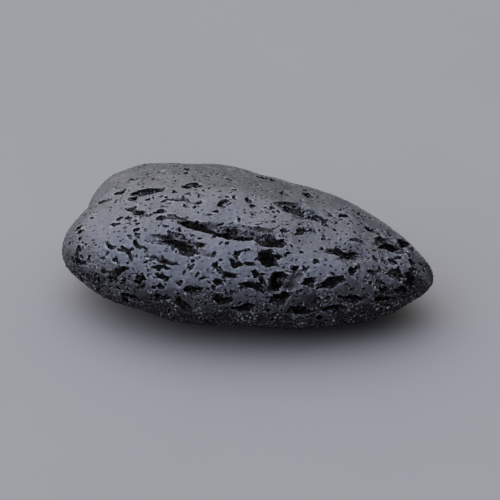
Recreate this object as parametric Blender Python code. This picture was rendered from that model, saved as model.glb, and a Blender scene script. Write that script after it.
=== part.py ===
"""Lava rock: a flat, water-worn pebble of black basalt, riddled with gas hollows. It is one solid.

The body is an egg-shaped ellipsoid, blunt at -X and pointed at +X, whose centre line bows. Broad swells and
dips shape it, gas bubbles are cut out of it, and it rests on a small worn flat. Lengths in this file are in
millimetres, and MM turns them into Blender's metres where an object is made. +Z is up.
"""

import math
from collections import namedtuple

import bmesh
import bpy
import numpy as np
from mathutils import Matrix, Vector

MM = 0.001
NODE = "lava_rock"

# The body, before its swells
HALF_LENGTH = 31.0
HALF_WIDTH = 18.6
CROWN = 11.3  # from the widest line up to the top
KEEL = 8.2  # from the widest line down to the underside
EGG = 0.25  # how much wider the blunt end is than the middle
POINT = 0.05  # how much the last stretch draws in to the pointed end
THINNING = 0.10  # how much thinner the pointed end is than the middle
SWAY = -4.2  # how far the pointed end lies towards -Y
BOW = -3.4  # how far both ends lie towards -Y
DROOP = -1.0  # how far the pointed end hangs down
FULLNESS = 0.9  # under 1, the edge all round is blunter than an ellipsoid's

Swell = namedtuple("Swell", "name place reach rise")
SWELLS = [
    Swell("back lobe", (-22.5, 13.0, 13.0), 8.0, 1.3),
    Swell("notch between the lobes", (-29.5, 7.0, 11.5), 5.0, -2.3),
    Swell("valley in from the notch", (-23.0, 6.0, 15.5), 6.0, -0.5),
    Swell("front lobe", (-31.5, -1.0, 8.5), 7.0, 0.6),
    Swell("flatter left flank", (-22.0, -14.0, 4.0), 9.0, -0.5),
    Swell("belly", (-2.0, -19.0, 8.0), 9.0, 0.2),
    Swell("right flank", (17.0, -16.5, 4.0), 8.0, 0.8),
    Swell("undercut below the tip", (28.5, -8.5, 2.0), 6.0, -1.6),
    Swell("tip", (31.5, -8.0, 8.0), 6.0, 0.9),
    Swell("flatter back slope", (8.0, 14.0, 14.0), 11.0, -0.7),
]
LUMPS = [(17.0, 0.20, 5), (7.0, 0.08, 6)]  # size, height and seed of each layer of lumps
FLAT_DEPTH = 0.45  # how far up the underside the worn flat is

# The near side's hollows are placed as they look from an eye in front of the stone and above it
EYE_ANGLE = math.radians(34.0)
EYE_DISTANCE = 420.0
AIM = np.array([0.3, -0.4, 8.7])

# right and up: the place as seen from the eye; long and wide: the mouth's size as seen; deep: real depth;
# turn: degrees that the long way is turned, right end up; lean: degrees that the floor dips to the near rim
Hollow = namedtuple("Hollow", "name right up long wide deep turn lean")
HOLLOWS = [
    Hollow("slot_left_scoop", -10.3, 3.9, 3.8, 1.4, 1.3, -22, 25),
    Hollow("slot_second_scoop", -6.5, 2.9, 5.8, 1.9, 1.9, -18, 30),
    Hollow("slot_long_scoop", -1.7, 2.2, 7.9, 2.2, 2.3, -6, 30),
    Hollow("slot_right_scoop", 3.6, 1.4, 5.8, 2.6, 2.3, 3, 20),
    Hollow("pit_under_slot", 2.9, -1.4, 2.9, 2.9, 2.6, 60, 5),
    Hollow("side_notch", 4.6, -1.0, 1.5, 0.9, 1.0, 10, 0),
    Hollow("front_cave", 4.8, -5.3, 4.3, 2.9, 2.8, -15, 0),
    Hollow("front_cave_tail", 0.7, -6.0, 4.1, 1.2, 1.5, -8, 10),
    Hollow("lower_cave", 5.3, -8.2, 3.8, 2.6, 2.2, 0, -5),
    Hollow("right_cave_near", 10.4, -5.3, 2.9, 1.9, 1.7, -10, 5),
    Hollow("right_cave_far", 13.8, -5.6, 4.6, 2.4, 2.2, -4, 8),
    Hollow("upper_slot", 7.2, 6.5, 4.8, 1.7, 1.7, -8, 25),
    Hollow("upper_slot_tail", 11.5, 5.1, 5.1, 1.7, 1.5, -32, 20),
    Hollow("rough_patch", 9.7, 3.1, 4.8, 1.5, 0.8, 3, 15),
    Hollow("back_edge_dish", 23.6, 0.3, 4.1, 2.2, 1.4, -8, 25),
    Hollow("back_edge_notch", 26.3, 1.2, 2.4, 1.7, 1.5, -20, 0),
    Hollow("right_groove", 16.1, -1.0, 5.5, 1.7, 1.1, -4, 20),
    Hollow("tip_crescent", 25.0, -4.1, 3.4, 1.5, 1.0, -10, 10),
    Hollow("tip_slot", 27.5, -4.6, 3.8, 1.4, 1.5, 80, 0),
    Hollow("tip_pit", 29.2, -1.7, 2.6, 1.2, 1.0, -62, 0),
    Hollow("right_slit", 18.3, 1.5, 4.8, 0.9, 0.8, -12, 20),
    Hollow("lower_right_pit", 17.4, -8.4, 3.1, 1.4, 1.3, -5, 0),
    Hollow("left_long_hollow", -12.3, 0.9, 7.9, 1.5, 1.0, -18, 20),
    Hollow("left_slit", -14.9, -1.9, 5.8, 1.0, 0.9, -20, 20),
    Hollow("left_branch_slit", -18.8, 0.5, 4.4, 0.9, 0.7, -24, 15),
    Hollow("left_step", -21.0, -0.3, 2.2, 1.4, 0.9, -60, 10),
    Hollow("left_cave", -22.4, -3.8, 3.9, 2.4, 1.7, 45, 5),
    Hollow("glint_pit", -18.8, -5.0, 2.1, 1.4, 1.2, 5, 10),
    Hollow("round_pit", -15.4, -4.4, 2.4, 1.4, 1.0, -5, 10),
    Hollow("brow_pit", -10.1, -6.8, 3.1, 2.1, 2.0, -8, 0),
    Hollow("middle_pit", -2.6, -2.4, 2.9, 1.4, 1.2, -5, 10),
    Hollow("middle_low_pit", -3.1, -4.4, 3.6, 1.0, 1.0, -8, 10),
    Hollow("belly_pit", -5.1, -8.2, 4.1, 1.5, 1.5, -4, -5),
    Hollow("left_belly_pit", -15.7, -8.2, 3.1, 1.4, 1.2, -6, -5),
    Hollow("flank_pit_1", -20.5, -7.9, 3.4, 1.2, 1.2, -12, 0),
    Hollow("flank_pit_2", -11.1, -9.6, 2.8, 1.4, 1.3, -6, 0),
    Hollow("flank_pit_3", -0.9, -9.9, 3.8, 1.5, 1.5, 2, 0),
    Hollow("flank_pit_4", 8.5, -10.6, 3.4, 1.4, 1.4, 4, 0),
    Hollow("flank_pit_5", 15.0, -9.9, 3.8, 1.5, 1.5, 5, 0),
    Hollow("flank_pit_6", 22.2, -8.5, 2.8, 1.2, 1.2, 12, 0),
    Hollow("flank_pit_7", 25.6, -6.8, 2.2, 1.2, 1.1, 20, 0),
    Hollow("left_end_scar", -29.2, -2.2, 4.4, 2.1, 1.0, -25, 10),
    Hollow("left_end_pit", -29.2, 0.3, 2.2, 0.9, 0.9, 5, 15),
    Hollow("top_back_slit", -17.6, 10.1, 5.5, 1.0, 0.9, 4, 20),
    Hollow("top_slit", -11.5, 8.7, 4.1, 0.7, 0.6, -8, 20),
    Hollow("top_groove", -12.8, 5.6, 5.1, 0.7, 0.6, -3, 20),
    Hollow("top_pit", -18.8, 6.3, 2.6, 0.9, 0.8, 8, 15),
    Hollow("far_back_pit", 2.1, 12.3, 2.6, 0.9, 0.8, -10, 10),
    Hollow("far_pit", 5.8, 9.6, 2.2, 0.9, 0.8, -15, 10),
    Hollow("far_right_pit", 9.7, 9.4, 2.2, 0.9, 0.8, -12, 10),
    Hollow("right_back_pit", 15.7, 6.0, 1.5, 1.0, 0.9, -10, 10),
]
STRETCH_LIMIT = 1.9  # most that a mouth is lengthened for lying aslant to the eye

# The far side's hollows are strewn at random, no nearer to each other than the gap and clear of the underside
STREWN = 30
STREWN_GAP = 5.0
STREWN_LOWEST = -0.8  # they stay where the way out points down no more steeply than this
STREWN_LONG = (1.8, 6.0)  # most are near the short end
STREWN_SLIM = (0.35, 0.65)  # width as a share of the length
STREWN_DEEP = (0.5, 0.8)  # depth as a share of the width
STREWN_SEED = 12

SAMPLES = 60000  # points of the form that the hollows are placed on
BASE_STEPS = 6
BASE_SHARE = 0.35  # share of the base sphere's triangles that are kept
CUT_SHARE = 0.46  # share of the cut stone's triangles that are kept
ROUGHNESS_OF_WALLS = 0.12

BASALT_COLOUR = (0.028, 0.029, 0.032, 1.0)
BASALT_ROUGHNESS = 0.55


def clear_scene():
    for thing in list(bpy.data.objects):
        bpy.data.objects.remove(thing, do_unlink=True)


def spread_directions(count):
    """Unit vectors spread evenly over the sphere, along a golden-angle spiral."""
    step = np.arange(count) + 0.5
    height = 1.0 - 2.0 * step / count
    angle = step * math.pi * (3.0 - math.sqrt(5.0))
    ring = np.sqrt(1.0 - height**2)
    return np.stack([ring * np.cos(angle), ring * np.sin(angle), height], axis=1)


def waves(points, size, seed, count=24):
    """A smooth random field of about unit height: plane waves about this size, in seeded directions, added up."""
    draw = np.random.default_rng(seed)
    heading = draw.normal(size=(count, 3))
    heading /= np.linalg.norm(heading, axis=1)[:, None]
    heading *= 2.0 * math.pi / size * (1.0 + draw.uniform(-0.5, 0.5, (count, 1)))
    phase = draw.uniform(0.0, 2.0 * math.pi, count)
    return np.sin(points @ heading.T + phase).sum(axis=1) * math.sqrt(2.0 / count)


def outward(points):
    """The way out of the stone at each point: that of the plain ellipsoid through it."""
    middle = np.array([0.0, 0.0, KEEL])
    half = np.array([HALF_LENGTH, HALF_WIDTH, (CROWN + KEEL) / 2.0])
    slope = (points - middle) / half**2
    return slope / np.linalg.norm(slope, axis=1)[:, None]


def body(directions):
    """The ellipsoid's point in each direction, tapered along X and set on its bowed centre line."""
    along, across, up = directions.T
    end = along**4 * np.sign(along)
    y = HALF_WIDTH * (1.0 - EGG * along - POINT * end) * across
    full = np.sign(up) * np.abs(up) ** FULLNESS
    z = np.where(up > 0.0, CROWN, KEEL) * (1.0 - THINNING * (along + end)) * full
    y += SWAY * along + BOW * along**2
    z += KEEL + DROOP * along
    return np.stack([HALF_LENGTH * along, y, z], axis=1)


def form(directions):
    """The whole outer form: the body with its swells, dips and lumps raised along the way out."""
    points = body(directions)
    rise = np.zeros(len(points))
    for swell in SWELLS:
        away = ((points - np.array(swell.place)) ** 2).sum(axis=1)
        rise += swell.rise * np.exp(-away / swell.reach**2)
    for size, height, seed in LUMPS:
        rise += height * waves(points, size, seed)
    return points + rise[:, None] * outward(points)


def resting_shift(samples):
    """What moves the form so that its box stands centred on the origin once the worn flat is cut."""
    low = samples.min(axis=0)
    middle = (low + samples.max(axis=0)) / 2.0
    return np.array([-middle[0], -middle[1], -low[2] - FLAT_DEPTH])


def sight_lines(points):
    """How far right and up each point is seen from the eye, on the plane through the aim, and the eye's axes."""
    look = np.array([0.0, math.cos(EYE_ANGLE), -math.sin(EYE_ANGLE)])
    right = np.array([1.0, 0.0, 0.0])
    up = np.cross(right, look)
    away = points - AIM
    nearness = EYE_DISTANCE / (EYE_DISTANCE + away @ look)
    return (away @ right) * nearness, (away @ up) * nearness, look, right, up


def onto_surface(seen, look, normal):
    """The line along the surface that looks like this one: it is slid along the sight line onto the surface."""
    return seen - look * (seen @ normal) / (look @ normal)


def seat_seen(hollow, samples, normals):
    """Where a hollow that is placed as seen lies on the form: (middle, frame, half sizes)."""
    seen_right, seen_up, look, right, up = sight_lines(samples)
    off = (seen_right - hollow.right) ** 2 + (seen_up - hollow.up) ** 2
    off[normals @ look > -0.02] = np.inf
    at = int(off.argmin())
    normal = normals[at]
    turn = math.radians(hollow.turn)
    seen_long = math.cos(turn) * right + math.sin(turn) * up
    long_way = onto_surface(seen_long, look, normal)
    stretch = min(np.linalg.norm(long_way), STRETCH_LIMIT)
    long_way /= np.linalg.norm(long_way)
    wide_way = np.cross(normal, long_way)
    squeeze = max(math.hypot(wide_way @ right, wide_way @ up), 1.0 / STRETCH_LIMIT)
    half = (hollow.long * stretch / 2.0, hollow.wide / squeeze / 2.0, hollow.deep)
    return samples[at], (long_way, wide_way, normal), half, math.radians(hollow.lean)


def seat_strewn(samples, normals):
    """Hollows strewn over the side that the eye doesn't see, the long way roughly along the stone."""
    draw = np.random.default_rng(STREWN_SEED)
    look = sight_lines(samples[:1])[2]
    hidden = np.flatnonzero((normals @ look > 0.05) & (normals[:, 2] > STREWN_LOWEST))
    seats = []
    for at in draw.permutation(hidden):
        if len(seats) == STREWN:
            break
        if any(np.linalg.norm(samples[at] - seat[0]) < STREWN_GAP for seat in seats):
            continue
        normal = normals[at]
        lengthways = np.array([1.0, 0.0, 0.0]) - normal[0] * normal
        lengthways += 0.5 * draw.normal() * np.cross(normal, lengthways)
        lengthways /= np.linalg.norm(lengthways)
        shortest, longest = STREWN_LONG
        long = shortest * (longest / shortest) ** draw.random()
        wide = long * draw.uniform(*STREWN_SLIM)
        half = (long / 2.0, wide / 2.0, wide * draw.uniform(*STREWN_DEEP))
        frame = (lengthways, np.cross(normal, lengthways), normal)
        seats.append((samples[at], frame, half, math.radians(draw.uniform(-15.0, 15.0))))
    return seats


def mesh_of(name, ball, points):
    """A mesh of the ball's faces with its vertices moved to these points, in millimetres."""
    for vertex, point in zip(ball.verts, points):
        vertex.co = Vector(point) * MM
    mesh = bpy.data.meshes.new(name)
    ball.to_mesh(mesh)
    ball.free()
    return mesh


def ball_of(steps):
    """A unit icosphere and its vertices' places."""
    ball = bmesh.new()
    bmesh.ops.create_icosphere(ball, subdivisions=steps, radius=1.0)
    return ball, np.array([vertex.co for vertex in ball.verts])


def add_cutter(name, mesh, collection):
    cutter = bpy.data.objects.new(name, mesh)
    collection.objects.link(cutter)
    cutter.hide_render = True
    cutter.display_type = "WIRE"
    return cutter


def add_bubble(name, seat, shift, collection, seed):
    """One bubble: an ellipsoid with a slightly lumpy wall, leant about its long way, centred on the surface."""
    place, (long_way, wide_way, normal), half, lean = seat
    ball, points = ball_of(3 if max(half) > 2.2 else 2)
    points *= 1.0 + ROUGHNESS_OF_WALLS * waves(points, 1.6, seed)[:, None]
    mesh = mesh_of(name, ball, points * np.array(half))
    cutter = add_cutter(name, mesh, collection)
    turn = Matrix((long_way, wide_way, normal)).transposed().to_4x4()
    spot = Matrix.Translation(Vector(place + shift) * MM)
    cutter.matrix_world = spot @ turn @ Matrix.Rotation(lean, 4, "X")


def add_table(shift, collection):
    """The block whose top trims the underside to the worn flat at z = 0."""
    block = bmesh.new()
    bmesh.ops.create_cube(block, size=1.0)
    size = Vector((4.0 * HALF_LENGTH, 4.0 * HALF_WIDTH, KEEL)) * MM
    bmesh.ops.scale(block, vec=size, verts=block.verts)
    bmesh.ops.translate(block, vec=(0.0, 0.0, -size.z / 2.0), verts=block.verts)
    mesh = bpy.data.meshes.new("table")
    block.to_mesh(mesh)
    block.free()
    return add_cutter("table", mesh, collection)


def basalt():
    material = bpy.data.materials.new("basalt")
    material.use_nodes = True
    shader = material.node_tree.nodes["Principled BSDF"]
    shader.inputs["Base Color"].default_value = BASALT_COLOUR
    shader.inputs["Roughness"].default_value = BASALT_ROUGHNESS
    shader.inputs["Metallic"].default_value = 0.0
    return material


def new_collection(name):
    collection = bpy.data.collections.new(name)
    bpy.context.scene.collection.children.link(collection)
    return collection


def add_stone(shift):
    """The base ball pulled to the form, with fewer triangles where it is even."""
    ball, directions = ball_of(BASE_STEPS)
    mesh = mesh_of(NODE, ball, form(directions) + shift)
    stone = bpy.data.objects.new(NODE, mesh)
    bpy.context.scene.collection.objects.link(stone)
    mesh.materials.append(basalt())
    mesh.shade_smooth()
    thin_out(stone, "even_faces", BASE_SHARE)
    return stone


def thin_out(stone, name, share):
    """Takes triangles away where the surface is evenest, down to this share."""
    thin = stone.modifiers.new(name, "DECIMATE")
    thin.ratio = share


def cut(stone, name, collection):
    difference = stone.modifiers.new(name, "BOOLEAN")
    difference.operation = "DIFFERENCE"
    difference.solver = "EXACT"
    difference.operand_type = "COLLECTION"
    difference.collection = collection


def main():
    clear_scene()
    samples = form(spread_directions(SAMPLES))
    normals = outward(samples)
    shift = resting_shift(samples)
    stone = add_stone(shift)
    bubbles = new_collection("bubbles")
    seats = [(h.name, seat_seen(h, samples, normals)) for h in HOLLOWS]
    for number, seat in enumerate(seat_strewn(samples, normals)):
        seats.append((f"far_hollow_{number}", seat))
    for number, (name, seat) in enumerate(seats):
        add_bubble(name, seat, shift, bubbles, 100 + number)
    cut(stone, "hollows", bubbles)
    thin_out(stone, "clean_rims", CUT_SHARE)
    underside = new_collection("underside")
    add_table(shift, underside)
    cut(stone, "worn_flat", underside)


main()
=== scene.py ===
"""Lava rock: a flat, water-worn pebble of black basalt, riddled with gas hollows. It is one piece.

The stone is one closed surface over a grid of directions. The outer form is the CAD solid's, from the same
values, and thousands of bubbles are pressed into it, the large ones first. Lengths are in millimetres until a
mesh is made, and MM turns them into Blender's metres. +Z is up and the stone rests on z = 0.
"""

import math
from collections import namedtuple

import bpy
import numpy as np
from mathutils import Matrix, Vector


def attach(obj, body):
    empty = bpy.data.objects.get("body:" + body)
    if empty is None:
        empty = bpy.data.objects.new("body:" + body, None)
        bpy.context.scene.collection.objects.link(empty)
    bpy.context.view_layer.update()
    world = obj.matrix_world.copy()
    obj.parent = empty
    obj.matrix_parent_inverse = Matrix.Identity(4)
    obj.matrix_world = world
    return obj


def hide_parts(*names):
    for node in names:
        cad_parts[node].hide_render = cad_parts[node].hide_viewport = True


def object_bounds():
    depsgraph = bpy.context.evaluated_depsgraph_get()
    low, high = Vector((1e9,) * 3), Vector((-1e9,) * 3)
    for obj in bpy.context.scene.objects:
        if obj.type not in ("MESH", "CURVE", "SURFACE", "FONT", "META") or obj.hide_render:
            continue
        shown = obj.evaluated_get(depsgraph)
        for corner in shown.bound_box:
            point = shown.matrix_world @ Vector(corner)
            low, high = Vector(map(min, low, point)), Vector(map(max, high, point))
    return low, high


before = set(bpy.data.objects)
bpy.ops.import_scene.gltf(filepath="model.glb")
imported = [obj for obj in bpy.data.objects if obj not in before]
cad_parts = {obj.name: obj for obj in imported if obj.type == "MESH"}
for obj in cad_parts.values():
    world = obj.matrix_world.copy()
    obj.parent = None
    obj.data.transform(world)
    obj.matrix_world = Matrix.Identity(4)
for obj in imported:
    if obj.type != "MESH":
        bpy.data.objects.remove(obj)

CAD_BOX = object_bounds()

bl_info = {
    "name": "Lava rock",
    "version": (1, 0, 0),
    "blender": (4, 5, 0),
    "location": "3D View > Sidebar > Lava rock",
    "description": "Makes a water-worn basalt pebble full of gas hollows",
    "category": "Add Mesh",
}

MM = 0.001
NODE = "lava_rock"
PIECE = "worn_basalt_pebble"

# ---- the outer form, as in the CAD solid

HALF_LENGTH = 31.0
HALF_WIDTH = 18.6
CROWN = 11.3  # from the widest line up to the top
KEEL = 8.2  # from the widest line down to the underside
EGG = 0.25  # how much wider the blunt end is than the middle
POINT = 0.05  # how much the last stretch draws in to the pointed end
THINNING = 0.10  # how much thinner the pointed end is than the middle
SWAY = -4.2  # how far the pointed end lies towards -Y
BOW = -3.4  # how far both ends lie towards -Y
DROOP = -1.0  # how far the pointed end hangs down
FULLNESS = 0.9  # under 1, the edge all round is blunter than an ellipsoid's

Swell = namedtuple("Swell", "name place reach rise")
SWELLS = [Swell(*row) for row in [
    ("back lobe", (-22.5, 13.0, 13.0), 8.0, 1.3),
    ("notch between the lobes", (-29.5, 7.0, 11.5), 5.0, -2.3),
    ("valley in from the notch", (-23.0, 6.0, 15.5), 6.0, -0.5),
    ("front lobe", (-31.5, -1.0, 8.5), 7.0, 0.6),
    ("flatter left flank", (-22.0, -14.0, 4.0), 9.0, -0.5),
    ("belly", (-2.0, -19.0, 8.0), 9.0, 0.2),
    ("right flank", (17.0, -16.5, 4.0), 8.0, 0.8),
    ("undercut below the tip", (28.5, -8.5, 2.0), 6.0, -1.6),
    ("tip", (31.5, -8.0, 8.0), 6.0, 0.9),
    ("flatter back slope", (8.0, 14.0, 14.0), 11.0, -0.7),
]]
LUMPS = [(17.0, 0.20, 5), (7.0, 0.08, 6)]  # size, height and seed of each layer of lumps
FLAT_DEPTH = 0.45  # how far up the underside the worn flat is
SAMPLES = 60000  # points of the form that its box is read from and that the strewn large hollows lie on

# ---- the eye that the near side's hollows are seen from

EYE_ANGLE = math.radians(34.0)
EYE_DISTANCE = 420.0
AIM = np.array([0.3, -0.4, 8.7])
VIEW_WIDTH = 85.47  # how much of the plane through the aim the camera takes in
FACING = -0.02  # the skin is seen where its way out points along the look by less than this
LOOK = np.array([0.0, math.cos(EYE_ANGLE), -math.sin(EYE_ANGLE)])
RIGHT = np.array([1.0, 0.0, 0.0])
UP = np.cross(RIGHT, LOOK)

# ---- large hollows, near to the CAD solid's

# right and up: the place as seen from the eye; long and wide: the mouth's size as seen; deep: real depth;
# turn: degrees that the long way is turned, right end up; lean: degrees that the floor dips to the near rim
Hollow = namedtuple("Hollow", "name right up long wide deep turn lean")
HOLLOWS = [Hollow(*row) for row in [
    ("slot_left_scoop", -10.3, 3.9, 3.6, 1.1, 1.6, -22, 22),
    ("slot_second_scoop", -6.5, 2.7, 5.6, 1.5, 2.2, -22, 28),
    ("slot_long_scoop", -1.7, 1.9, 8.4, 1.6, 2.5, -6, 30),
    ("slot_right_scoop", 3.6, 1.4, 5.4, 1.8, 2.4, 3, 26),
    ("pit_under_slot", 2.9, -1.4, 2.9, 2.9, 2.6, 60, 5),
    ("side_notch", 4.6, -1.0, 1.5, 0.9, 1.0, 10, 0),
    ("front_cave", 4.6, -5.2, 3.2, 2.4, 2.6, 50, 0),
    ("front_cave_tail", 0.9, -6.0, 4.4, 0.9, 1.3, -10, 20),
    ("lower_cave", 5.3, -8.0, 3.6, 2.2, 2.2, 20, -5),
    ("right_cave_near", 10.4, -5.3, 2.6, 1.6, 1.7, -10, 5),
    ("right_cave_far", 13.8, -5.5, 4.4, 1.8, 2.0, 6, 12),
    ("upper_slot", 7.0, 6.6, 4.6, 1.4, 1.8, -8, 5),
    ("upper_slot_tail", 11.5, 5.2, 4.8, 1.1, 1.1, -30, 12),
    ("rough_patch", 9.7, 3.1, 4.8, 1.3, 0.4, 3, 5),
    ("back_edge_dish", 23.6, 0.3, 4.0, 1.4, 1.2, -8, 12),
    ("back_edge_notch", 26.3, 1.2, 2.4, 1.7, 1.5, -20, 0),
    ("right_groove", 16.2, -0.9, 5.4, 1.5, 1.1, -10, 12),
    ("tip_crescent", 25.0, -4.1, 3.4, 1.5, 1.0, -10, 10),
    ("tip_slot", 27.5, -4.6, 3.8, 1.4, 1.5, 80, 0),
    ("tip_pit", 27.6, -2.0, 2.0, 1.0, 0.9, -50, 0),
    ("right_slit", 18.0, 1.8, 4.6, 0.4, 0.6, -10, 5),
    ("lower_right_pit", 17.4, -8.4, 3.1, 1.4, 1.3, -5, 0),
    ("left_long_hollow", -12.0, 0.8, 6.2, 1.5, 0.75, -18, 10),
    ("left_slit", -14.9, -1.9, 5.8, 0.6, 0.9, -18, 35),
    ("left_branch_slit", -18.8, 0.5, 4.4, 0.55, 0.7, -26, 30),
    ("left_step", -20.9, -0.3, 2.2, 0.9, 0.9, -55, 20),
    ("left_cave", -22.5, -3.9, 3.9, 1.5, 1.6, 42, 15),
    ("glint_pit", -18.8, -5.0, 2.1, 1.4, 1.2, 5, 10),
    ("round_pit", -15.4, -4.4, 2.0, 1.1, 1.0, -5, 10),
    ("brow_pit", -10.1, -6.8, 2.8, 1.5, 1.8, -8, 0),
    ("middle_pit", -2.6, -2.4, 2.9, 1.0, 1.2, -5, 20),
    ("middle_low_pit", -3.1, -4.4, 3.4, 0.7, 1.0, -8, 20),
    ("belly_pit", -5.1, -8.2, 4.1, 1.5, 1.5, -4, -5),
    ("left_belly_pit", -15.7, -8.2, 3.1, 1.4, 1.2, -6, -5),
    ("flank_pit_1", -20.5, -7.9, 3.4, 1.2, 1.2, -12, 0),
    ("flank_pit_2", -11.1, -9.6, 2.8, 1.4, 1.3, -6, 0),
    ("flank_pit_3", -0.9, -9.9, 3.8, 1.5, 1.5, 2, 0),
    ("flank_pit_4", 8.5, -10.6, 3.4, 1.4, 1.4, 4, 0),
    ("flank_pit_5", 15.0, -9.9, 3.8, 1.5, 1.5, 5, 0),
    ("flank_pit_6", 22.2, -8.5, 2.8, 1.2, 1.2, 12, 0),
    ("flank_pit_7", 25.6, -6.8, 2.2, 1.2, 1.1, 20, 0),
    ("left_end_scar", -29.0, -2.2, 4.4, 1.6, 0.3, -25, 5),
    ("left_end_pit", -29.2, 0.3, 2.2, 0.9, 0.9, 5, 15),
    ("top_back_slit", -17.6, 10.1, 5.5, 1.0, 0.9, 4, 20),
    ("top_slit", -11.5, 8.7, 4.1, 0.7, 0.6, -8, 20),
    ("top_groove", -12.8, 5.6, 5.1, 0.7, 0.6, -3, 20),
    ("top_pit", -18.8, 6.3, 2.6, 0.9, 0.8, 8, 15),
    ("far_back_pit", 2.1, 12.3, 2.6, 0.9, 0.8, -10, 10),
    ("far_pit", 5.8, 9.6, 2.2, 0.9, 0.8, -15, 10),
    ("far_right_pit", 9.7, 9.4, 2.2, 0.9, 0.8, -12, 10),
    ("right_back_pit", 15.7, 6.0, 1.5, 1.0, 0.9, -10, 10),
]]
# Wide and gentle dips of the skin, placed in the same way
DISHES = [Hollow(*row) for row in [
    ("slope above the slot", -2.6, 3.4, 11.5, 2.4, 0.5, -9, 0),
    ("dip round the left hollow", -12.0, 1.1, 9.0, 2.4, 0.35, -18, 0),
    ("slope above the upper slot", 9.3, 6.6, 7.0, 2.4, 0.6, -18, 0),
    ("dip round the caves", 5.0, -6.3, 6.0, 4.2, 0.7, 20, 0),
    ("dip round the right groove", 17.0, 0.0, 7.0, 2.6, 0.25, -8, 0),
    ("dip at the back edge", 24.2, 0.6, 5.5, 2.6, 0.5, -12, 0),
]]
STRETCH_LIMIT = 1.9  # most that a mouth is lengthened for lying aslant to the eye

# The far side's large hollows, strewn at random no nearer to each other than the gap, clear of the underside
STREWN = 30
STREWN_GAP = 5.0
STREWN_LOWEST = -0.8  # they stay where the way out points down no more steeply than this
STREWN_HIDDEN = 0.05  # and where it points along the look by more than this
STREWN_LONG = (1.8, 6.0)  # most are near the short end
STREWN_SLIM = (0.35, 0.65)  # width as a share of the length
STREWN_DEEP = (0.5, 0.8)  # depth as a share of the width
STREWN_TURN = 0.5  # how far their long ways stray from the stone's, sideways for one lengthways
STREWN_LEAN = 15.0  # degrees, either way
STREWN_SEED = 12

# ---- smaller hollows of the near side, as seen

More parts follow.
